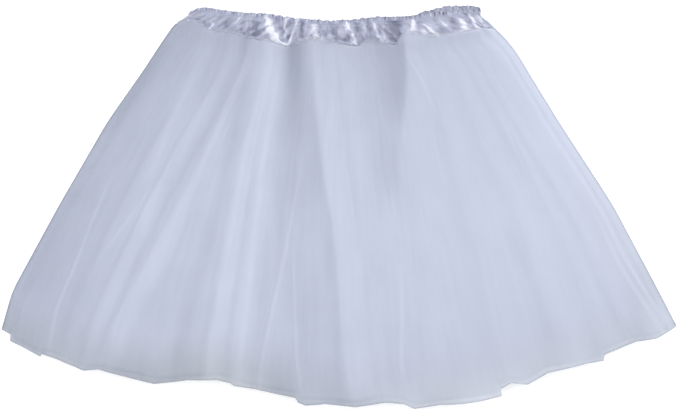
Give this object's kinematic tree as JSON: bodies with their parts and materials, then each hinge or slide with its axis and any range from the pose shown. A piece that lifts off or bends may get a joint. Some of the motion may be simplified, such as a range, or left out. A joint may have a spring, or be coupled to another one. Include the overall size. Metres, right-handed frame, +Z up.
{
  "type": "ballet tutu",
  "caption": "Pull-on tulle tutu skirt laid flat, three gathered tulle tubes hanging from a puckered satin elastic waistband",
  "frame": {"origin": "On the surface that the tutu lies on, under the middle of its bounding box", "axes": "+Z points up, away from the surface and out of the front of the tutu; +Y points along the skirt from its hem to its waistband; +X points across it to the right side as it is seen from above, along its longest extent"},
  "size_m": [0.6997, 0.4178, 0.0312],
  "materials": {
    "satin": "glossy satin weave",
    "tulle_outer": "sheer fine net",
    "tulle_middle": "sheer fine net",
    "tulle_inner": "sheer fine net"
  },
  "bodies": {
    "root": {"waistband": "satin", "tulle_front_outer": "tulle_outer", "tulle_back_outer": "tulle_outer", "tulle_front_middle": "tulle_middle", "tulle_back_middle": "tulle_middle", "tulle_front_inner": "tulle_inner", "tulle_back_inner": "tulle_inner"}
  },
  "joints": []
}
